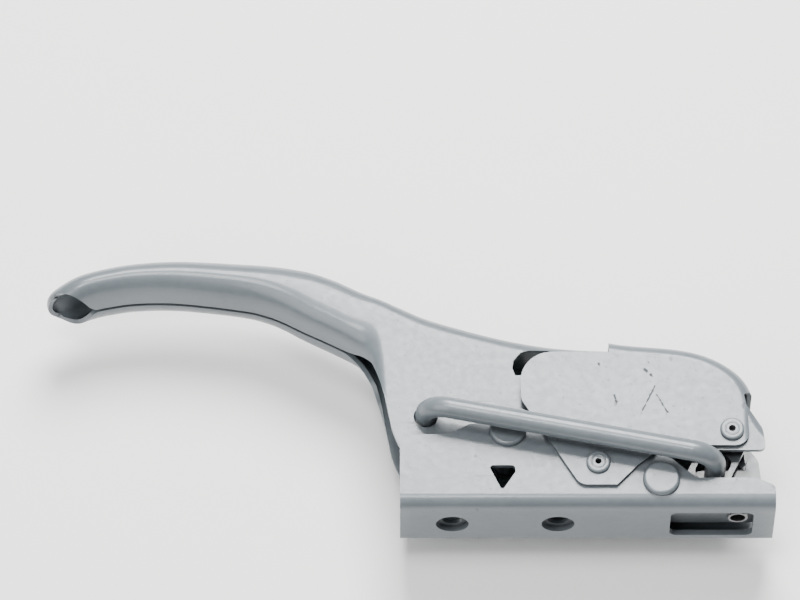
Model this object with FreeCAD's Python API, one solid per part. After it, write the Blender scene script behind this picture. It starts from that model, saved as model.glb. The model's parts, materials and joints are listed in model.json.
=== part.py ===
import FreeCAD, Part
import math
import os

# Lever hole punch with an over-centre bail, lying on its side: +X runs to the mouth, +Y is up
# from the base plate and +Z is across the width. Z = 0 is the middle plane. X is counted from
# the rear end of the base and is moved to the middle of the base plate when a part is saved.

# Driving dimensions, in millimetres
base_length = 127.2
base_half = 14.5          # half the outer width of the base channel
base_sheet = 2.0
base_bend = 4.5           # outer radius of the two bends along the base
head_sheet = 1.5
handle_half = 12.2        # half the outer width of the handle
handle_sheet = 1.6
rod_radius = 3.6          # bail rod
bail_half = 22.0          # middle plane to the centre line of each bail arm
bail_bend = 8.0           # centre-line radius of the bail's bends
bail_end = 7.2            # the in-turned front ends stop here
pin_fit = 0.05            # radial running clearance
loose_fit = 0.35          # radial clearance of the rod in the handle
grip_start = -24.0        # the cheeks end and the rolled grip begins
grip_split = 8.5          # the grip's walls are divided this far from the middle plane
link_gap = 0.25           # gap between pieces that press on each other

handle_pivot = (36.7, 28.5)
bail_pivot = (8.8, 34.8)
bail_front = (107.0, 15.4)
head_pin = (112.9, 27.9)
tab_pin = (67.2, 15.4)
frame_pin = (88.6, 9.9)
punch_x = 114.9
mount_holes_x = (17.8, 53.7)
mount_hole_radius = 5.6
liner_hole_radius = 3.6
die_top = 10.9
guide_bottom = 13.6
guide_top = 17.0
punch_radius = 2.0
punch_bite = 1.0          # how far the closed punch enters the die
cam_reach = 8.0           # rocker pivot to the centre of its nose
cam_nose = 1.5
cam_lead = 25.0           # angle of the closed nose ahead of straight down

V = FreeCAD.Vector
across = V(0, 0, 1)


def corner(before, here, after, radius):
    """Start, middle and end of the tangent arc that rounds a corner."""
    ins = [b - h for b, h in zip(before, here)]
    out = [a - h for a, h in zip(after, here)]
    len_in = math.hypot(*ins)
    len_out = math.hypot(*out)
    ins = [c / len_in for c in ins]
    out = [c / len_out for c in out]
    half = math.acos(ins[0] * out[0] + ins[1] * out[1]) / 2
    back = radius / math.tan(half)
    bisector = [a + b for a, b in zip(ins, out)]
    size = math.hypot(*bisector)
    inside = radius / math.sin(half) - radius
    start = [h + c * back for h, c in zip(here, ins)]
    middle = [h + c * inside / size for h, c in zip(here, bisector)]
    end = [h + c * back for h, c in zip(here, out)]
    return start, middle, end


def face(points, place):
    """Flat face from corners (a, b, radius); place turns each (a, b) into a point in space."""
    edges = []
    stops = []
    count = len(points)
    for i, (a, b, radius) in enumerate(points):
        if radius:
            before = points[i - 1][:2]
            after = points[(i + 1) % count][:2]
            stops.append([place(*p) for p in corner(before, (a, b), after, radius)])
        else:
            stops.append([place(a, b)])
    for i, stop in enumerate(stops):
        if len(stop) == 3:
            edges.append(Part.Arc(*stop).toShape())
        follower = stops[(i + 1) % count][0]
        if (follower - stop[-1]).Length > 1e-6:
            edges.append(Part.LineSegment(stop[-1], follower).toShape())
    return Part.Face(Part.Wire(edges))


def plate(points, low, high):
    """Side outline (x, y, radius) with a thickness from low to high across the width."""
    flat = face(points, lambda x, y: V(x, y, low))
    return flat.extrude(V(0, 0, high - low))


def channel(points, start, end):
    """Section (z, y, radius) run along X."""
    flat = face(points, lambda z, y: V(start, y, z))
    return flat.extrude(V(end - start, 0, 0))


def pin(centre, radius, low, high):
    return Part.makeCylinder(radius, high - low, V(centre[0], centre[1], low), across)


def upright(x, radius, low, high, z=0):
    return Part.makeCylinder(radius, high - low, V(x, low, z), V(0, 1, 0))


def both_sides(shape):
    return Part.makeCompound([shape, shape.mirror(V(0, 0, 0), across)])


def folded(top, floor, half, sheet, radius):
    """Sheet folded over a curved spine: a channel that is open below."""
    outer_curve = Part.BSplineCurve()
    outer_curve.interpolate([V(x, y, 0) for x, y in top])
    shells = []
    for inset in (0, sheet):
        points = []
        for x, y in top:
            here = V(x, y, 0)
            along = outer_curve.tangent(outer_curve.parameter(here))[0]
            points.append(here + V(along.y, -along.x, 0) * inset + V(0, 0, inset - half))
        curve = Part.BSplineCurve()
        curve.interpolate(points)
        first = V(points[0].x, floor, inset - half)
        last = V(points[-1].x, floor, inset - half)
        spine = curve.toShape()
        ends = [Part.LineSegment(curve.EndPoint, last).toShape()]
        ends.append(Part.LineSegment(last, first).toShape())
        ends.append(Part.LineSegment(first, curve.StartPoint).toShape())
        block = Part.Face(Part.Wire([spine] + ends)).extrude(V(0, 0, 2 * (half - inset)))
        rims = [e for e in block.Edges if e.BoundBox.YMin > floor + 5 and e.BoundBox.ZLength < 1e-3]
        shells.append(block.makeFillet(radius - inset, rims))
    return shells[0].cut(shells[1])


def base_channel():
    inner = base_half - base_sheet
    section = [(-base_half, 45, 0), (-base_half, 0, base_bend), (base_half, 0, base_bend),
               (base_half, 45, 0), (inner, 45, 0), (inner, base_sheet, base_bend - base_sheet),
               (-inner, base_sheet, base_bend - base_sheet), (-inner, 45, 0)]
    side = [(0, -1, 0), (0, 26.6, 2.5), (17, 27.2, 4), (23.5, 30.8, 3), (29, 31.2, 3),
            (32, 36.6, 4), (43, 36.6, 4), (49, 27.4, 4), (86, 20.2, 6), (92.5, 17.6, 3),
            (100.4, 10.5, 4), (120.5, 10.5, 4), (base_length, 7.6, 2.5), (base_length, -1, 0)]
    body = channel(section, 0, base_length).common(plate(side, -20, 20))
    for x in mount_holes_x:
        body = body.cut(upright(x, mount_hole_radius, -1, 3))
    window = Part.makeBox(28.2, 4, 17, V(91.8, -1, -8.5))
    window = window.makeFillet(2.5, [e for e in window.Edges if e.BoundBox.YLength > 3.9])
    lanced = [(30.0, 15.2, 1.0), (38.9, 15.2, 1.0), (39.2, 12.8, 1.0), (34.6, 5.6, 0.8)]
    body = body.cut(window).cut(plate(lanced, -20, 20))
    for centre, radius in ((handle_pivot, 3.5), (frame_pin, 3.0), (tab_pin, 2.0)):
        body = body.cut(pin(centre, radius, -20, 20))
    return body


def base_liner():
    strip = plate([(4, 2.0, 0), (80, 2.0, 0), (80, 3.5, 0), (4, 3.5, 0)], -9.8, 9.8)
    for x in mount_holes_x:
        strip = strip.cut(upright(x, liner_hole_radius, 1, 5))
    return strip


def punch_frame():
    outline = [(84, 3.8, 1.5), (121, 3.8, 1.5), (121, die_top, 0.5), (110.6, die_top, 1),
               (110.6, guide_bottom, 1), (119.0, guide_bottom, 0.5), (118.0, guide_top, 0.5),
               (103, guide_top, 2), (97, 15.8, 3), (84, 15.8, 2.5)]
    body = plate(outline, -6.5, 6.5)
    body = body.cut(upright(punch_x, 3.4, 0, die_top + 1))
    body = body.cut(upright(punch_x, punch_radius + pin_fit, die_top, guide_top + 1))
    body = body.cut(upright(punch_x, 3.3, 15.0, guide_top + 1))
    return body.cut(pin(frame_pin, 3.0, -7, 7))


def die_button():
    body = upright(punch_x, 3.4, 2.4, die_top)
    body = body.cut(upright(punch_x, punch_radius + pin_fit, 8.4, die_top + 1))
    return body.cut(upright(punch_x, punch_radius + 0.6, 1, 8.5))


cap_top = [(71.5, 63.0), (85, 61.4), (98, 59.8), (106, 57.3), (112.6, 53.4), (117.2, 49.0),
           (120.0, 43.6), (121.6, 34.0)]


def open_front(half, height):
    """Block that clears the space between the head's side walls at the mouth."""
    return Part.makeBox(20, height, 2 * half, V(110, 0, -half))


def head_cap():
    outer = base_half + head_sheet
    body = folded(cap_top, 0, outer, head_sheet, 5.0)
    front = [(60, 70, 0), (125, 70, 0), (125, 43.6, 0), (117.2, 42.2, 0.5), (118.3, 36, 0),
             (119.0, 22.1, 5), (90, 22.1, 3), (80.5, 14.5, 4), (73.5, 7.2, 0), (60, 7.2, 0)]
    tab = [(71.5, 57.8, 0), (41.2, 57.8, 11), (41.2, 39.7, 6), (61.0, 7.2, 4.5),
           (71.5, 7.2, 0)]
    body = body.common(plate(front, -20, 20)).cut(open_front(base_half, 43.0))
    body = body.fuse(both_sides(plate(tab, base_half, outer)).Solids)
    body = body.cut(pin(tab_pin, 2.0, -20, 20))
    return body.cut(pin(head_pin, 2.2, -20, 20))


def head_liner():
    top = [(x - 0.6, y - head_sheet - 0.5) for x, y in cap_top]
    top[-1] = (124.6, 30)
    body = folded(top, 0, base_half - 0.05, head_sheet, 4.0)
    sides = [(74, 70, 0), (113, 70, 0), (113, 47, 2), (117.0, 40, 3), (120.0, 35.4, 2),
             (123.4, 30.3, 4), (124.4, 21.0, 2.0), (96, 21.0, 3), (84, 27, 4), (74, 29, 3)]
    body = body.common(plate(sides, -20, 20)).cut(open_front(base_half - head_sheet - 0.05, 41.5))
    return body.cut(pin(head_pin, 2.2, -20, 20))


def tab_rivets():
    shank = pin(tab_pin, 2.0, base_half - base_sheet, 16.2)
    flange = button_head(tab_pin, base_half + head_sheet, 4.1, 1.3)
    return both_sides(shank.fuse(flange).cut(pin(tab_pin, 1.1, 10, 20)))


def frame_rivet():
    shank = pin(frame_pin, 3.0, -base_half, base_half)
    return shank.fuse([button_head(frame_pin, base_half, 6.3, 1.8),
                       button_head(frame_pin, base_half, 6.3, 1.8).mirror(V(0, 0, 0), across)])


def button_head(centre, start, radius, height):
    """Low rivet head with a rounded rim, standing on the plane z = start."""
    head = pin(centre, radius, start, start + height)
    rim = [e for e in head.Edges if e.BoundBox.ZMin > start + height - 0.01]
    return head.makeFillet(height * 0.6, rim)


def frame_spacers():
    tube = pin(frame_pin, 4.4, 6.5, base_half - base_sheet)
    return both_sides(tube.cut(pin(frame_pin, 3.0, 0, 20)))


def handle_rivet():
    head = button_head(handle_pivot, base_half, 6.3, 1.8)
    shank = pin(handle_pivot, 3.5, -base_half, base_half)
    return shank.fuse([head, head.mirror(V(0, 0, 0), across)])


def pivot_tube():
    inner = handle_half - handle_sheet - 1.1
    return pin(handle_pivot, 5.2, -inner, inner).cut(pin(handle_pivot, 3.5 + pin_fit, -20, 20))


def pivot_bushes():
    inner = handle_half - handle_sheet
    bush = pin(handle_pivot, 4.5, inner - 0.8, handle_half).fuse(pin(handle_pivot, 6.4, inner - 0.8, inner))
    return both_sides(bush.cut(pin(handle_pivot, 3.5 + pin_fit, 0, 20)))


def head_rivet():
    shank = pin(head_pin, 2.2, -base_half - head_sheet, base_half + head_sheet)
    flange = button_head(head_pin, base_half + head_sheet, 4.1, 1.3)
    body = shank.fuse([flange, flange.mirror(V(0, 0, 0), across)])
    return body.cut(pin(head_pin, 1.2, 14, 20)).cut(pin(head_pin, 1.2, -20, -14))


grip_top = [(-123.4, 85.4), (-120.4, 89.2), (-114, 92.3), (-104, 95.6), (-92, 97.8), (-74.8, 98.9),
            (-49.3, 97.3), (-32, 94.6), (-20, 89.6)]
grip_height = [5, 10.4, 12.4, 13.2, 13.4, 14.6, 16.4, 19.6, 23.4]
spine_top = [(-24, 91.6), (-14.6, 86.4), (0, 78.9), (10.2, 74.2), (29.2, 68.3), (45.6, 64.5),
             (58, 62.9), (70, 62.3)]

tip_taper = {0: 5.0, 1: 1.4}    # the first rings are this much narrower each side


def grip(inset):
    """Closed oval tube of the grip, with each section square to X."""
    rings = []
    last = len(grip_top) - 1
    for i, ((x, y), height) in enumerate(zip(grip_top, grip_height)):
        shift = inset if i == 0 else (-inset if i == last else 0)
        half_width = handle_half - inset - tip_taper.get(i, 0)
        centre = V(x + shift, y - height / 2, 0)
        ring = Part.Ellipse(centre + V(0, 0, half_width), centre + V(0, height / 2 - inset, 0), centre)
        rings.append(Part.Wire([ring.toShape()]))
    return Part.makeLoft(rings, True)


def grip_shell():
    """Rolled tube of the grip, open at the cheeks and along the seam underneath."""
    tube = grip(0).cut(grip(handle_sheet))
    tube = tube.cut(Part.makeBox(20, 60, 40, V(grip_start, 50, -20)))
    return tube.cut(Part.makeBox(120, 14, 0.7, V(-116, 62, -0.35)))


def grip_wall(side):
    """Wall of the grip on one side, out to its widest point."""
    low = grip_split if side > 0 else -20
    return grip_shell().common(Part.makeBox(140, 80, 20 - grip_split, V(-130, 40, low)))


def grip_middle(above):
    middle = grip_shell().common(Part.makeBox(140, 80, 2 * grip_split, V(-130, 40, -grip_split)))
    line = [(x, y - height / 2, 0) for (x, y), height in zip(grip_top, grip_height)]
    line = [(line[0][0] - 9, line[0][1], 0)] + line + [(line[-1][0] + 9, line[-1][1], 0)]
    line += [(line[-1][0], 130, 0), (line[0][0], 130, 0)]
    upper = plate(line, -20, 20)
    return middle.common(upper) if above else middle.cut(upper)


def grip_near():
    return grip_wall(1)


def grip_far():
    return grip_wall(-1)


def grip_crown():
    return grip_middle(True)


def grip_lips():
    return grip_middle(False)


def handle():
    side = [(grip_start, 99, 0), (grip_start, 69, 0), (-15, 63.4, 3), (-7.2, 54.6, 10), (-3.6, 36, 20),
            (0.6, 22, 3), (8, 17.5, 8), (37, 17, 10), (52, 19, 8), (76, 45, 5), (76, 56, 4),
            (70, 59, 0), (70, 99, 0)]
    body = folded(spine_top, 0, handle_half, handle_sheet, 5.0).common(plate(side, -20, 20))
    slot = [(38.6, 55.6, 2.5), (43.8, 60.6, 2.5), (52, 60.6, 2), (44, 50.6, 3), (39.2, 50.6, 2)]
    body = body.cut(plate(slot, -20, 20))
    body = body.cut(pin(handle_pivot, 4.5, -20, 20))
    return body.cut(pin(bail_pivot, rod_radius + loose_fit, -20, 20))


def bail_rod():
    dx = bail_front[0] - bail_pivot[0]
    dy = bail_front[1] - bail_pivot[1]
    length = math.hypot(dx, dy)
    slant = bail_bend * (1 - math.sqrt(0.5))
    edges = [Part.LineSegment(V(0, 0, 0), V(0, 0, bail_half - bail_bend)).toShape()]
    edges.append(Part.Arc(V(0, 0, bail_half - bail_bend), V(slant, 0, bail_half - slant),
                          V(bail_bend, 0, bail_half)).toShape())
    edges.append(Part.LineSegment(V(bail_bend, 0, bail_half), V(length - bail_bend, 0, bail_half)).toShape())
    edges.append(Part.Arc(V(length - bail_bend, 0, bail_half), V(length - slant, 0, bail_half - slant),
                          V(length, 0, bail_half - bail_bend)).toShape())
    edges.append(Part.LineSegment(V(length, 0, bail_half - bail_bend), V(length, 0, bail_end)).toShape())
    circle = Part.Wire([Part.Circle(V(0, 0, 0), across, rod_radius).toShape()])
    arm = Part.Wire(edges).makePipeShell([circle], True, False)
    tip = [e for e in arm.Edges if abs(e.BoundBox.ZMin - bail_end) < 0.01 and e.BoundBox.ZLength < 0.01]
    arm = arm.makeFillet(0.8, tip)
    rod = arm.fuse(arm.mirror(V(0, 0, 0), across)).removeSplitter()
    rod.rotate(V(0, 0, 0), across, math.degrees(math.atan2(dy, dx)))
    return rod.translated(V(bail_pivot[0], bail_pivot[1], 0))


def rocker():
    """Two slotted cheeks on a hub with a cam nose; drawn hanging down, then turned to the bail."""
    x, y = head_pin
    cheek = [(x - 6.2, y + 5.8, 4), (x + 5.8, y + 5.8, 4), (x + 6.0, y - 20, 2.5), (x - 8.4, y - 20, 2.5),
             (x - 8.4, y - 8, 5)]
    slot = [(x - 6.4, y - 6.9, 3), (x + 4.1, y - 6.9, 3), (x + 4.1, y - 18.2, 3), (x - 6.4, y - 18.2, 3)]
    side = plate(cheek, 7.4, 9.4).cut(plate(slot, 7, 10))
    lean = math.degrees(math.atan2(bail_front[0] - x, y - bail_front[1]))
    side.rotate(V(x, y, 0), across, lean)
    lead = math.radians(cam_lead)
    tip = (x + cam_reach * math.sin(lead), y - cam_reach * math.cos(lead))
    hub = pin(head_pin, 5.0, -7.4, 7.4)
    nose = pin(tip, cam_nose, -4.5, 4.5)
    aside = (math.cos(lead), math.sin(lead))
    web = [(x + 4.2 * aside[0], y + 4.2 * aside[1], 0), (x - 4.2 * aside[0], y - 4.2 * aside[1], 0),
           (tip[0] - cam_nose * aside[0], tip[1] - cam_nose * aside[1], 0),
           (tip[0] + cam_nose * aside[0], tip[1] + cam_nose * aside[1], 0)]
    body = hub.fuse([nose, plate(web, -4.5, 4.5), side, side.mirror(V(0, 0, 0), across)])
    return body.cut(pin(head_pin, 2.2 + pin_fit, -20, 20))


def coil(centre, axis, radius, wire, pitch, height):
    """Round-wire coil spring along axis."""
    helix = Part.makeHelix(pitch, height, radius)
    section = Part.Wire([Part.Circle(V(radius, 0, 0), V(0, 1, 0), wire).toShape()])
    body = Part.Wire(helix.Edges).makePipeShell([section], True, True)
    if axis.z < 0.5:
        body.rotate(V(0, 0, 0), across.cross(axis), 90)
    return body.translated(centre)


nose_bottom = head_pin[1] - cam_reach * math.cos(math.radians(cam_lead)) - cam_nose
collar_top = nose_bottom - link_gap


def punch_pin():
    return upright(punch_x, punch_radius, die_top - punch_bite, collar_top)


def punch_collar():
    ring = upright(punch_x, 3.9, collar_top - 1.4, collar_top)
    return ring.cut(upright(punch_x, punch_radius, 0, 30))


def punch_spring():
    return coil(V(punch_x, 15.35, 0), V(0, 1, 0), 2.75, 0.3, 0.72, 1.6)


def rocker_spring():
    return coil(V(head_pin[0], head_pin[1], 9.9), across, 3.0, 0.4, 0.9, 2.7)


makers = (base_channel, base_liner, punch_frame, die_button, head_cap, head_liner, tab_rivets,
          frame_rivet, frame_spacers, handle_rivet, pivot_tube, pivot_bushes, head_rivet, handle,
          grip_near, grip_far, grip_crown, grip_lips,
          bail_rod, rocker, punch_pin, punch_collar, punch_spring, rocker_spring)

os.makedirs("parts", exist_ok=True)
for maker in makers:
    part = maker()
    part = part.translated(V(-base_length / 2, 0, 0))
    name = maker.__name__
    print(name, part.isValid(), len(part.Solids), round(part.Volume, 1))
    part.exportStep("parts/" + name + ".step")
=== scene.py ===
import json
import math
import bmesh
import bpy
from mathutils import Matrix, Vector


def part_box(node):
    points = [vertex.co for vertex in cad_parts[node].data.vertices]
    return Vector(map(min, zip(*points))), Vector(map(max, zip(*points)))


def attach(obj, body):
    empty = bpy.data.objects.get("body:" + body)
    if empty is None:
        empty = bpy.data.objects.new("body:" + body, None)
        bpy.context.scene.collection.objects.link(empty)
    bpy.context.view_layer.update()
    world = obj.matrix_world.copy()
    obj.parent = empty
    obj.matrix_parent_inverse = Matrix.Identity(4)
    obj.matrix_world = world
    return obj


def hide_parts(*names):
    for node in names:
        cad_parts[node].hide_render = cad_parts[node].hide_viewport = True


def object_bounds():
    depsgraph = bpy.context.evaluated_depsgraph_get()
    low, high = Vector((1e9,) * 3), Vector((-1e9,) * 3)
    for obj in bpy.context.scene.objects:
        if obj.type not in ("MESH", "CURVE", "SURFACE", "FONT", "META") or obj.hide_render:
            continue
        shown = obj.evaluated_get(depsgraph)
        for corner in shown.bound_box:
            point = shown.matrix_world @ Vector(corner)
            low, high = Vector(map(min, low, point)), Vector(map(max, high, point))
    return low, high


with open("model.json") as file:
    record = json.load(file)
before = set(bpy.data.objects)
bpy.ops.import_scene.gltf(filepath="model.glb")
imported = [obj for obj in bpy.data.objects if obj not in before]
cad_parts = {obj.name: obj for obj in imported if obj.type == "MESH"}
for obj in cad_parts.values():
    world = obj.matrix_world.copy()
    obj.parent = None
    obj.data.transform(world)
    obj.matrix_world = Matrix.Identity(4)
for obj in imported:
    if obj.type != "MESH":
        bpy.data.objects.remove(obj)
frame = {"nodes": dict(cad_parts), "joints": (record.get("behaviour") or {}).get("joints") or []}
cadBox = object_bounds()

mm = 0.001
nodes = frame["nodes"]
joints = {joint["name"]: joint for joint in frame["joints"]}
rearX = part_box("base_channel")[0].x  # rear end of the base, where lengths along the tool start


# metres from millimetres: along the tool, above the base plate, across
def at(x, y, z=0.0):
    return Vector((rearX + x * mm, y * mm, z * mm))


def newGroup(name, inputs, outputs):
    group = bpy.data.node_groups.new(name, "ShaderNodeTree")
    for label, kind, value in inputs:
        socket = group.interface.new_socket(label, in_out="INPUT", socket_type=kind)
        socket.default_value = value
    for label, kind in outputs:
        group.interface.new_socket(label, in_out="OUTPUT", socket_type=kind)
    start = group.nodes.new("NodeGroupInput")
    end = group.nodes.new("NodeGroupOutput")
    return group, start, end


def addNode(tree, kind, **settings):
    node = tree.nodes.new(kind)
    for key, value in settings.items():
        setattr(node, key, value)
    return node


def mapRange(tree, source, low, high, toLow=0.0, toHigh=1.0):
    node = addNode(tree, "ShaderNodeMapRange", clamp=True)
    tree.links.new(source, node.inputs["Value"])
    node.inputs["From Min"].default_value = low
    node.inputs["From Max"].default_value = high
    node.inputs["To Min"].default_value = toLow
    node.inputs["To Max"].default_value = toHigh
    return node.outputs["Result"]


def maths(tree, operation, first, second):
    node = addNode(tree, "ShaderNodeMath", operation=operation)
    for socket, value in zip(node.inputs, (first, second)):
        if isinstance(value, (int, float)):
            socket.default_value = value
        else:
            tree.links.new(value, socket)
    return node.outputs[0]


def noise(tree, scale, detail, vector, stretch=None):
    source = vector
    if stretch:
        mapping = addNode(tree, "ShaderNodeMapping")
        mapping.inputs["Scale"].default_value = stretch
        tree.links.new(vector, mapping.inputs["Vector"])
        source = mapping.outputs[0]
    node = addNode(tree, "ShaderNodeTexNoise")
    node.inputs["Detail"].default_value = detail
    tree.links.new(source, node.inputs["Vector"])
    if isinstance(scale, (int, float)):
        node.inputs["Scale"].default_value = scale
    else:
        tree.links.new(scale, node.inputs["Scale"])
    return node.outputs["Fac"]


# colour multiplied by a grey shade
def shadeColour(tree, colour, shade):
    tone = addNode(tree, "ShaderNodeMix", data_type="RGBA", blend_type="MULTIPLY")
    tone.inputs["Factor"].default_value = 1.0
    grey = addNode(tree, "ShaderNodeCombineColor")
    for channel in grey.inputs:
        tree.links.new(shade, channel)
    tree.links.new(colour, tone.inputs["A"])
    tree.links.new(grey.outputs[0], tone.inputs["B"])
    return tone.outputs["Result"]


# colour covered by a fixed one where the mask is white
def coverColour(tree, colour, cover, mask):
    blend = addNode(tree, "ShaderNodeMix", data_type="RGBA")
    tree.links.new(mask, blend.inputs["Factor"])
    tree.links.new(colour, blend.inputs["A"])
    blend.inputs["B"].default_value = cover
    return blend.outputs["Result"]


noiseMiddle = (0.3, 0.7)  # most of a noise lies between these

# noise scales are per metre
enamelGrain = {
    "driftScale": 28.0, "driftShade": (0.90, 1.04),
    "mottleScale": 420.0, "mottleShade": (-0.03, 0.03), "roughness": (0.30, 0.44),
    "patchScale": 70.0, "patchBand": (0.50, 0.62),        # nicks and scratches come in patches
    "nickScale": 330.0, "nickBand": (0.69, 0.72),
    "pinholeScale": 900.0, "pinholeBand": (0.70, 0.76), "pinholeShare": 0.35,
    "scratchScale": 500.0, "scratchBand": (0.73, 0.76), "scratchShare": 0.6,
    "scratchStretch": (0.05, 1.0, 0.3),                   # long along the tool
    "markColour": (0.10, 0.105, 0.12, 1), "markRoughness": 0.35, "markDepth": 0.8,
    # painted shade for the hollows: its colour, how far the occlusion looks, and the band that
    # maps it to full shade
    "hollowShadeColour": (0.012, 0.012, 0.016, 1), "hollowShadeReach": 0.012, "hollowShadeBand": (0.15, 0.75),
    "peelScale": 260.0,
}


# dipped enamel: slow tone drift, orange peel, pinholes, nicks, fine scratches, and painted shade
# darkening the hollows
def makePaintGroup():
    grain = enamelGrain
    group, start, end = newGroup(
        "dippedEnamel",
        [("Colour", "NodeSocketColor", (0.3, 0.35, 0.36, 1)), ("Nicks", "NodeSocketFloat", 0.5),
         ("Peel", "NodeSocketFloat", 1.0), ("HollowShade", "NodeSocketFloat", 0.5)],
        [("Colour", "NodeSocketColor"), ("Roughness", "NodeSocketFloat"),
         ("Height", "NodeSocketFloat")])
    place = addNode(group, "ShaderNodeTexCoord").outputs["Object"]
    drift = noise(group, grain["driftScale"], 3.0, place)
    mottle = noise(group, grain["mottleScale"], 2.0, place)
    patch = mapRange(group, noise(group, grain["patchScale"], 2.0, place), *grain["patchBand"])
    pinhole = noise(group, grain["pinholeScale"], 1.0, place)
    pinhole = mapRange(group, pinhole, *grain["pinholeBand"])
    pinhole = maths(group, "MULTIPLY", pinhole, grain["pinholeShare"])
    nick = mapRange(group, noise(group, grain["nickScale"], 2.0, place), *grain["nickBand"])
    nick = maths(group, "MULTIPLY", maths(group, "MULTIPLY", nick, patch), start.outputs["Nicks"])
    scratch = noise(group, grain["scratchScale"], 1.0, place, grain["scratchStretch"])
    scratch = mapRange(group, scratch, *grain["scratchBand"])
    scratch = maths(group, "MULTIPLY", maths(group, "MULTIPLY", scratch, patch),
                    grain["scratchShare"])
    marks = maths(group, "MAXIMUM", maths(group, "MAXIMUM", nick, pinhole), scratch)

    shade = maths(group, "ADD", mapRange(group, drift, *noiseMiddle, *grain["driftShade"]),
                  mapRange(group, mottle, *noiseMiddle, *grain["mottleShade"]))
    colour = shadeColour(group, start.outputs["Colour"], shade)
    colour = coverColour(group, colour, grain["markColour"], marks)
    # painted shade: where ambient occlusion finds a surface close by, in hollows and between
    # parts, the colour is covered with near-black
    hollow = addNode(group, "ShaderNodeAmbientOcclusion", samples=6)
    hollow.inputs["Distance"].default_value = grain["hollowShadeReach"]
    paintedShade = mapRange(group, hollow.outputs["AO"], *grain["hollowShadeBand"], 1.0, 0.0)
    paintedShade = maths(group, "MULTIPLY", paintedShade, start.outputs["HollowShade"])
    colour = coverColour(group, colour, grain["hollowShadeColour"], paintedShade)
    group.links.new(colour, end.inputs["Colour"])

    rough = maths(group, "ADD", mapRange(group, mottle, *noiseMiddle, *grain["roughness"]),
                  maths(group, "MULTIPLY", marks, grain["markRoughness"]))
    group.links.new(rough, end.inputs["Roughness"])
    peel = noise(group, grain["peelScale"], 2.0, place)
    peel = maths(group, "MULTIPLY", peel, start.outputs["Peel"])
    height = maths(group, "SUBTRACT", peel, maths(group, "MULTIPLY", marks, grain["markDepth"]))
    group.links.new(height, end.inputs["Height"])
    return group


steelGrain = {
    "lineStretch": (1.0, 0.08, 1.0), "roughness": (0.25, 0.45),
    "stainScale": 160.0, "stainShade": (0.75, 1.05),
}


# ground steel: fine lines up the punch and a faint stain
def makeGrindGroup():
    grain = steelGrain
    group, start, end = newGroup(
        "groundSteel",
        [("Colour", "NodeSocketColor", (0.5, 0.5, 0.5, 1)), ("Lines", "NodeSocketFloat", 900.0)],
        [("Colour", "NodeSocketColor"), ("Roughness", "NodeSocketFloat"),
         ("Height", "NodeSocketFloat")])
    place = addNode(group, "ShaderNodeTexCoord").outputs["Object"]
    lines = noise(group, start.outputs["Lines"], 2.0, place, grain["lineStretch"])
    stain = noise(group, grain["stainScale"], 3.0, place)
    stain = mapRange(group, stain, *noiseMiddle, *grain["stainShade"])
    group.links.new(shadeColour(group, start.outputs["Colour"], stain), end.inputs["Colour"])
    rough = mapRange(group, lines, *noiseMiddle, *grain["roughness"])
    group.links.new(rough, end.inputs["Roughness"])
    group.links.new(lines, end.inputs["Height"])
    return group


scoreShape = {"raggedScale": 900.0, "raggedBand": (0.35, 0.65), "raggedWidth": (0.2, 1.5),
              "edgeBand": (0.5, 1.0)}


# thin ragged mark along a straight line between two points, seen square to the side
def makeScoreGroup():
    shape = scoreShape
    group, start, end = newGroup(
        "scoreMark",
        [("From", "NodeSocketVector", (0, 0, 0)), ("To", "NodeSocketVector", (1, 0, 0)),
         ("Width", "NodeSocketFloat", 0.0003)],
        [("Mask", "NodeSocketFloat")])
    place = addNode(group, "ShaderNodeTexCoord").outputs["Object"]

    def vectorMaths(operation, first, second=None, output="Vector"):
        node = addNode(group, "ShaderNodeVectorMath", operation=operation)
        group.links.new(first, node.inputs[0])
        if operation == "SCALE":
            group.links.new(second, node.inputs["Scale"])
        elif second is not None:
            group.links.new(second, node.inputs[1])
        return node.outputs[output]

    flat = addNode(group, "ShaderNodeVectorMath", operation="MULTIPLY")
    flat.inputs[1].default_value = (1, 1, 0)
    group.links.new(place, flat.inputs[0])
    along = vectorMaths("SUBTRACT", start.outputs["To"], start.outputs["From"])
    offset = vectorMaths("SUBTRACT", flat.outputs[0], start.outputs["From"])
    share = maths(group, "DIVIDE", vectorMaths("DOT_PRODUCT", offset, along, "Value"),
                  vectorMaths("DOT_PRODUCT", along, along, "Value"))
    share = mapRange(group, share, 0.0, 1.0)
    gap = vectorMaths("SUBTRACT", offset, vectorMaths("SCALE", along, share))
    gap = vectorMaths("LENGTH", gap, output="Value")
    ragged = noise(group, shape["raggedScale"], 2.0, place)
    ragged = mapRange(group, ragged, *shape["raggedBand"], *shape["raggedWidth"])
    edge = maths(group, "DIVIDE", gap, maths(group, "MULTIPLY", start.outputs["Width"], ragged))
    group.links.new(mapRange(group, edge, *shape["edgeBand"], 1.0, 0.0), end.inputs["Mask"])
    return group


def makeMaterial(name, group, values, bumpDepth, metallic=0.0, coat=0.0):
    material = bpy.data.materials.new(name)
    material.use_nodes = True
    tree = material.node_tree
    shader = tree.nodes["Principled BSDF"]
    effect = addNode(tree, "ShaderNodeGroup", node_tree=group)
    for key, value in values.items():
        effect.inputs[key].default_value = value
    bump = addNode(tree, "ShaderNodeBump")
    bump.inputs["Strength"].default_value = 0.6
    bump.inputs["Distance"].default_value = bumpDepth
    tree.links.new(effect.outputs["Height"], bump.inputs["Height"])
    tree.links.new(bump.outputs["Normal"], shader.inputs["Normal"])
    tree.links.new(effect.outputs["Colour"], shader.inputs["Base Color"])
    tree.links.new(effect.outputs["Roughness"], shader.inputs["Roughness"])
    shader.inputs["Metallic"].default_value = metallic
    shader.inputs["Coat Weight"].default_value = coat
    shader.inputs["Coat Roughness"].default_value = 0.12
    return material


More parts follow.
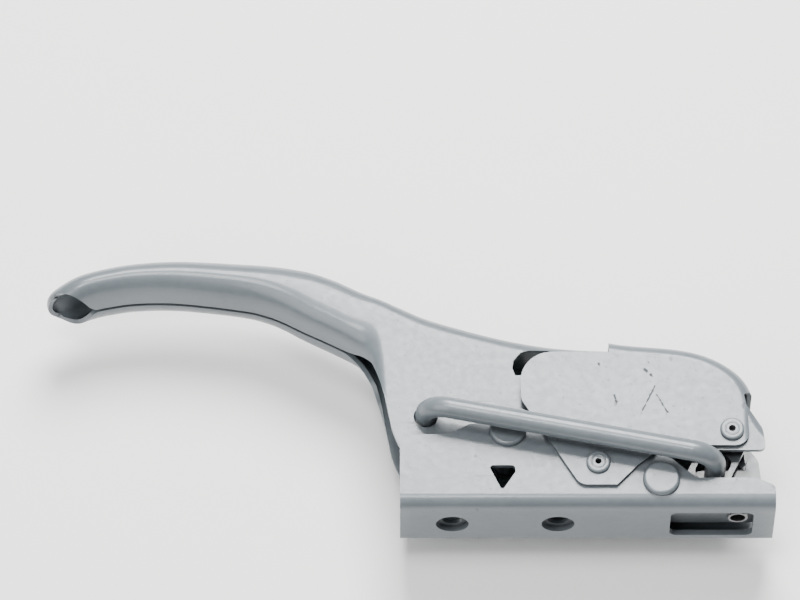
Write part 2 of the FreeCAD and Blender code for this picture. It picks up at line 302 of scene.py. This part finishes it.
paintLook = {"colour": (0.122, 0.143, 0.158), "bumpDepth": 0.00018, "coat": 0.3}
steelLook = {"toolColour": (0.3, 0.3, 0.31, 1), "toolBump": 0.00002,
             "springColour": (0.30, 0.30, 0.32, 1), "springBump": 0.00001, "springLines": 1500.0}

paintGroup = makePaintGroup()
grindGroup = makeGrindGroup()
scoreGroup = makeScoreGroup()


# the fourth argument sets how strong the painted shade in the hollows is
def makePaint(name, nicks, peel, paintedShade, lift=1.0):
    colour = tuple(channel * lift for channel in paintLook["colour"]) + (1,)
    return makeMaterial(name, paintGroup,
                        {"Colour": colour, "Nicks": nicks, "Peel": peel, "HollowShade": paintedShade},
                        paintLook["bumpDepth"], coat=paintLook["coat"])


materials = {
    "capEnamel": makePaint("capEnamel", 1.0, 0.8, 0.75, 1.04),
    "baseEnamel": makePaint("baseEnamel", 0.7, 1.0, 0.8),
    "handleEnamel": makePaint("handleEnamel", 0.35, 0.8, 0.85, 0.98),
    "rodEnamel": makePaint("rodEnamel", 0.5, 0.5, 0.7, 1.02),
    # painted shade: the same enamel darkened to 0.45 of its colour for the parts inside the head
    # and base, with the strongest hollow shade
    "shadedInnerEnamel": makePaint("shadedInnerEnamel", 0.2, 1.0, 1.0, 0.45),
    "toolSteel": makeMaterial("toolSteel", grindGroup, {"Colour": steelLook["toolColour"]},
                              steelLook["toolBump"], metallic=1.0),
    "springSteel": makeMaterial(
        "springSteel", grindGroup,
        {"Colour": steelLook["springColour"], "Lines": steelLook["springLines"]},
        steelLook["springBump"], metallic=1.0),
}

# scores on the cap's cheeks in mm: from, to, width
capScores = {
    "marks": [((87.0, 44.7), (82.0, 34.1), 0.35), ((87.6, 41.2), (91.1, 34.6), 0.35),
              ((73.0, 41.0), (73.8, 38.2), 0.6), ((83.6, 50.9), (84.6, 50.2), 0.6),
              ((85.6, 48.8), (86.2, 48.2), 0.6), ((67.9, 53.2), (68.1, 52.6), 0.5)],
    "colour": (0.05, 0.055, 0.065, 1), "roughness": 0.6, "coatLeft": 0.15,
}


def scoreCap(material):
    tree = material.node_tree
    shader = tree.nodes["Principled BSDF"]
    colour = shader.inputs["Base Color"].links[0].from_socket
    rough = shader.inputs["Roughness"].links[0].from_socket
    coat = shader.inputs["Coat Weight"].default_value
    for first, last, width in capScores["marks"]:
        mark = addNode(tree, "ShaderNodeGroup", node_tree=scoreGroup)
        mark.inputs["From"].default_value = at(*first)
        mark.inputs["To"].default_value = at(*last)
        mark.inputs["Width"].default_value = width * mm
        mask = mark.outputs["Mask"]
        colour = coverColour(tree, colour, capScores["colour"], mask)
        rough = maths(tree, "ADD", rough, maths(tree, "MULTIPLY", mask, capScores["roughness"]))
        coat = maths(tree, "MULTIPLY", mapRange(tree, mask, 0.0, 1.0, 1.0, capScores["coatLeft"]),
                     coat)
    tree.links.new(colour, shader.inputs["Base Color"])
    tree.links.new(rough, shader.inputs["Roughness"])
    tree.links.new(coat, shader.inputs["Coat Weight"])


scoreCap(materials["capEnamel"])
print("materials made:", len(materials))

# finish and width in mm of the softened edges of each CAD node that keeps its own shape
nodeFinish = {
    # the parts inside get the darkened copy of the enamel, which is painted shade
    "base_channel": ("baseEnamel", 0.5), "base_liner": ("shadedInnerEnamel", 0.3),
    "punch_frame": ("shadedInnerEnamel", 0.4), "die_button": ("toolSteel", 0.2),
    "head_cap": ("capEnamel", 0.45), "head_liner": ("baseEnamel", 0.4),
    "tab_rivets": ("rodEnamel", 0.25), "frame_rivet": ("rodEnamel", 0.4),
    "frame_spacers": ("shadedInnerEnamel", 0.3), "handle_rivet": ("rodEnamel", 0.4),
    "head_rivet": ("rodEnamel", 0.25), "pivot_tube": ("shadedInnerEnamel", 0.3),
    "pivot_bushes": ("toolSteel", 0.2), "bail_rod": ("rodEnamel", 0.0),
    "rocker": ("shadedInnerEnamel", 0.35), "punch_pin": ("toolSteel", 0.1),
    "punch_collar": ("toolSteel", 0.15), "punch_spring": ("springSteel", 0.0),
    "rocker_spring": ("springSteel", 0.0),
}
softRim = {"segments": 3, "sharperThan": 40}  # degrees


def setFinish(obj, material, rimWidth):
    obj.data.materials.clear()
    obj.data.materials.append(material)
    for polygon in obj.data.polygons:
        polygon.material_index = 0
    if rimWidth:
        rim = obj.modifiers.new("softRim", "BEVEL")
        rim.width = rimWidth * mm
        rim.segments = softRim["segments"]
        rim.limit_method = "ANGLE"
        rim.angle_limit = math.radians(softRim["sharperThan"])
        rim.harden_normals = True


for nodeName, (finish, rimWidth) in nodeFinish.items():
    setFinish(nodes[nodeName], materials[finish], rimWidth)
print("finishes set on", len(nodeFinish), "nodes")


# a new piece of painted steel that moves with a body
def finishPiece(obj, body, material, rimWidth):
    for polygon in obj.data.polygons:
        polygon.use_smooth = True
    setFinish(obj, material, rimWidth)
    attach(obj, body)


# handle: one sheet, a closed grip that opens into two cheeks; X from the base's rear end, in mm
handleSheet = {
    "halfWidth": 12.2, "sheet": 1.6, "rings": 150, "points": 73, "corner": 5.2, "softEdge": 0.3,
    "spine": [(70, 62.2), (58, 62.8), (45.6, 64.4), (29.2, 68.2), (10.2, 74.1), (0, 78.8),
              (-14.6, 86.3), (-24, 91.2), (-34, 94.8), (-49.3, 97.4), (-74.8, 98.8),
              (-92, 97.7), (-104, 95.3), (-112, 92.6), (-118, 89.4), (-121.4, 86.8),
              (-122.5, 84.6), (-122.0, 82.6)],
    "tubeHeight": [(-112, 12.4), (-92, 13.4), (-74.8, 14.6), (-49.3, 16.6), (-40, 18.0),
                   (-32, 19.6), (-24, 21.0), (-16, 22.0), (-8, 23.0)],
    "lowerEdge": [(-24, 66.0), (-18, 62.6), (-12.5, 60.6), (-8.6, 55.4), (-6.2, 47.5),
                  (-4.6, 40.0), (-3.0, 31.0), (-0.8, 24.5), (2.5, 20.0), (8, 18.0), (22, 17.2),
                  (37, 17.2), (52, 19.6), (64, 32.6), (70, 39.0)],
    "squareUp": (-34, -8),      # here the sections turn from square to the spine to upright
    "openUp": (-17, -5),        # here the seam parts into the cheeks
    "boxUp": (-60, -16), "boxiness": 0.4,
    "wrap": 176, "tipCut": 118, "tipCutRings": 13,        # degrees each side of the spine
    "tipNarrow": 0.42, "tipNarrowRings": (11, 5),
    "curveSteps": 24,
    "pivotHole": 4.5, "bailHole": 4.15, "cutDepth": 60,
    "slot": [(39.4, 50.6), (38.4, 53.4), (38.9, 56.4), (41.2, 59.3), (44.4, 60.4), (51.5, 60.4),
             (50.2, 58.6), (44.6, 50.8)],
}


# evenly spaced points along a soft curve through the given ones
def smoothLine(points, count, steps):
    dense = []
    last = len(points) - 1
    for i in range(last):
        p0, p1 = points[max(i - 1, 0)], points[i]
        p2, p3 = points[i + 1], points[min(i + 2, last)]
        for k in range(steps):
            t = k / steps
            dense.append(tuple(
                0.5 * (2 * b + (c - a) * t + (2 * a - 5 * b + 4 * c - d) * t * t
                       + (3 * b - a - 3 * c + d) * t ** 3)
                for a, b, c, d in zip(p0, p1, p2, p3)))
    dense.append(tuple(points[-1]))
    walked = [0.0]
    for a, b in zip(dense, dense[1:]):
        walked.append(walked[-1] + math.dist(a, b))
    even = []
    j = 0
    for i in range(count):
        goal = walked[-1] * i / (count - 1)
        while j < len(walked) - 2 and walked[j + 1] < goal:
            j += 1
        share = (goal - walked[j]) / (walked[j + 1] - walked[j])
        even.append(tuple(a + (b - a) * share for a, b in zip(dense[j], dense[j + 1])))
    return even


# value at x from rows of (x, value) in rising order
def between(rows, x):
    if x <= rows[0][0]:
        return rows[0][1]
    for (x0, v0), (x1, v1) in zip(rows, rows[1:]):
        if x <= x1:
            return v0 + (v1 - v0) * (x - x0) / (x1 - x0)
    return rows[-1][1]


def ease(low, high, x):
    t = min(max((x - low) / (high - low), 0.0), 1.0)
    return t * t * (3 - 2 * t)


# closed section, t from -1 to 1 over the spine: distance across, depth below the spine
def tubePoint(t, half, height, wrap, power):
    across, down = math.sin(t * wrap), math.cos(t * wrap)
    across = math.copysign(abs(across) ** power, across)
    down = math.copysign(abs(down) ** power, down)
    return half * across, height / 2 * (1 - down)


# open section: flat spine, rounded corner, straight cheek
def cheekPoint(t, half, corner, depth):
    flat = half - corner
    arc = corner * math.pi / 2
    straight = max(depth - corner, 1.0)
    walk = abs(t) * (flat + arc + straight)
    side = 1 if t >= 0 else -1
    if walk < flat:
        return side * walk, 0.0
    if walk < flat + arc:
        turn = (walk - flat) / corner
        return side * (flat + corner * math.sin(turn)), corner * (1 - math.cos(turn))
    return side * half, corner + walk - flat - arc


def linkMesh(mesh, name):
    data = bpy.data.meshes.new(name)
    mesh.to_mesh(data)
    mesh.free()
    obj = bpy.data.objects.new(name, data)
    bpy.context.collection.objects.link(obj)
    return obj


def makeHandle():
    look = handleSheet
    inset = look["sheet"] / 2
    half = look["halfWidth"] - inset
    spine = smoothLine(look["spine"], look["rings"], look["curveSteps"])
    tipRing = spine.index(min(spine))
    narrowBefore, narrowAfter = look["tipNarrowRings"]
    mesh = bmesh.new()
    rows = []
    for i, (x, y) in enumerate(spine):
        ahead, behind = spine[min(i + 1, len(spine) - 1)], spine[max(i - 1, 0)]
        along = Vector((ahead[0] - behind[0], ahead[1] - behind[1])).normalized()
        inward = Vector((-along.y, along.x))
        if x > look["squareUp"][0]:
            inward = inward.lerp(Vector((0, -1)), ease(*look["squareUp"], x))
        opening = ease(*look["openUp"], x)
        power = 1 - look["boxiness"] * ease(*look["boxUp"], x)
        cut = look["tipCut"] * ease(tipRing - look["tipCutRings"], tipRing, i)
        wrap = math.radians(look["wrap"] - cut)
        if wrap > math.pi / 2:  # a boxier section keeps the same narrow seam
            wrap = math.pi - math.asin(math.sin(wrap) ** (1 / power))
        narrow = ease(tipRing - narrowBefore, tipRing + narrowAfter, i)
        width = half * (1 - look["tipNarrow"] * narrow)
        height = between(look["tubeHeight"], x) - 2 * inset
        depth = y - between(look["lowerEdge"], x) - inset
        row = []
        for k in range(look["points"]):
            t = 2 * k / (look["points"] - 1) - 1
            tube = tubePoint(t, width, height, wrap, power)
            cheek = cheekPoint(t, half, look["corner"], depth)
            z = tube[0] + (cheek[0] - tube[0]) * opening
            d = tube[1] + (cheek[1] - tube[1]) * opening + inset
            place = Vector((x, y)) + inward * d
            row.append(mesh.verts.new(at(place.x, place.y, z)))
        rows.append(row)
    for first, second in zip(rows, rows[1:]):
        for a, b, c, d in zip(first, first[1:], second[1:], second):
            mesh.faces.new((a, b, c, d))
    bmesh.ops.recalc_face_normals(mesh, faces=mesh.faces)
    skin = linkMesh(mesh, "handleSkin")
    thick = skin.modifiers.new("sheet", "SOLIDIFY")
    thick.thickness = look["sheet"] * mm
    thick.offset = 0
    thick.use_even_offset = True
    return skin


def holeCutter(jointName, radius):
    place = joints[jointName]["pos_m"]
    bpy.ops.mesh.primitive_cylinder_add(
        vertices=64, radius=radius * mm, depth=handleSheet["cutDepth"] * mm,
        location=(place[0], place[1], 0))
    return bpy.context.object


def slotCutter(outline):
    mesh = bmesh.new()
    reach = handleSheet["cutDepth"] / 2
    low = [mesh.verts.new(at(x, y, -reach)) for x, y in outline]
    high = [mesh.verts.new(at(x, y, reach)) for x, y in outline]
    mesh.faces.new(low)
    mesh.faces.new(high)
    for i in range(len(low)):
        j = (i + 1) % len(low)
        mesh.faces.new((low[i], low[j], high[j], high[i]))
    bmesh.ops.recalc_face_normals(mesh, faces=mesh.faces)
    return linkMesh(mesh, "slotCutter")


# cuts the holes for good, then drops the cutters
def carve(obj, cutters):
    for cutter in cutters:
        cut = obj.modifiers.new("cut", "BOOLEAN")
        cut.operation = "DIFFERENCE"
        cut.solver = "EXACT"
        cut.object = cutter
    graph = bpy.context.evaluated_depsgraph_get()
    carved = bpy.data.meshes.new_from_object(obj.evaluated_get(graph))
    obj.modifiers.clear()
    obj.data = carved
    for cutter in cutters:
        bpy.data.objects.remove(cutter, do_unlink=True)


handleSkin = makeHandle()
carve(handleSkin, [holeCutter("handle_lift", handleSheet["pivotHole"]),
                   holeCutter("bail_swing", handleSheet["bailHole"]),
                   slotCutter(handleSheet["slot"])])
finishPiece(handleSkin, "handle", materials["handleEnamel"], handleSheet["softEdge"])
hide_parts("handle", "grip_near", "grip_far", "grip_crown", "grip_lips")
print("handle made")

# rolled rims round the holes of the tubular rivets, in mm
rivetRim = {"radius": 2.3, "thick": 0.55, "proud": 0.1,
            "places": {"tab_rivets": (67.2, 15.4), "head_rivet": (112.9, 27.9)}}


def makeRivetRims():
    sunk = (rivetRim["thick"] - rivetRim["proud"]) * mm
    for nodeName, (x, y) in rivetRim["places"].items():
        low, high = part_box(nodeName)
        for side, z in (("near", high.z - sunk), ("far", low.z + sunk)):
            bpy.ops.mesh.primitive_torus_add(
                major_radius=rivetRim["radius"] * mm, minor_radius=rivetRim["thick"] * mm,
                major_segments=64, minor_segments=20, location=(rearX + x * mm, y * mm, z))
            rim = bpy.context.object
            rim.name = nodeName + "_rim_" + side
            finishPiece(rim, "frame", materials["rodEnamel"], 0)


makeRivetRims()
print("rivet rims made")

stageLook = {"floorSize": 3.0, "floorGap": 0.2, "floorColour": (0.95, 0.945, 0.935, 1),
             "skyStrength": 0.3, "aim": (0, 0.04, 0)}
# place in metres, diameter in metres, watts
studioLights = {
    "keyLight": ((0.05, 0.74, 0.95), 0.7, 34),
    "fillLight": ((-0.7, -0.5, 0.8), 0.9, 7),
    "topLight": ((-0.2, 0.0, 1.3), 0.5, 12),
}
cameraLook = {"target": (0.0, 78.6, 14.5), "elevation": 62.0, "distance": 2.0, "lens": 261.5}


def makeFloor():
    bpy.ops.mesh.primitive_plane_add(
        size=stageLook["floorSize"],
        location=(0, 0, cadBox[0].z - stageLook["floorGap"] * mm))
    floor = bpy.context.object
    floor.name = "floor"
    material = bpy.data.materials.new("paleFloor")
    material.use_nodes = True
    shader = material.node_tree.nodes["Principled BSDF"]
    shader.inputs["Base Color"].default_value = stageLook["floorColour"]
    shader.inputs["Roughness"].default_value = 0.9
    floor.data.materials.append(material)


def makeLights():
    aim = Vector(stageLook["aim"])
    for name, (place, size, power) in studioLights.items():
        data = bpy.data.lights.new(name, "AREA")
        data.shape = "DISK"
        data.size = size
        data.energy = power
        lamp = bpy.data.objects.new(name, data)
        lamp.location = place
        lamp.rotation_euler = (aim - Vector(place)).to_track_quat("-Z", "Y").to_euler()
        bpy.context.collection.objects.link(lamp)
    sky = bpy.data.worlds.new("softSky")
    sky.use_nodes = True
    backdrop = sky.node_tree.nodes["Background"]
    backdrop.inputs["Color"].default_value = (1, 1, 1, 1)
    backdrop.inputs["Strength"].default_value = stageLook["skyStrength"]
    bpy.context.scene.world = sky


def makeCamera():
    data = bpy.data.cameras.new("camera")
    data.lens = cameraLook["lens"]
    data.clip_start = 0.01
    camera = bpy.data.objects.new("camera", data)
    target = at(*cameraLook["target"])
    lift = math.radians(cameraLook["elevation"])
    back = Vector((0, -math.cos(lift), math.sin(lift)))
    camera.location = target + cameraLook["distance"] * back
    camera.rotation_euler = (target - camera.location).to_track_quat("-Z", "Y").to_euler()
    bpy.context.collection.objects.link(camera)
    bpy.context.scene.camera = camera


makeFloor()
makeLights()
makeCamera()
print("stage made")
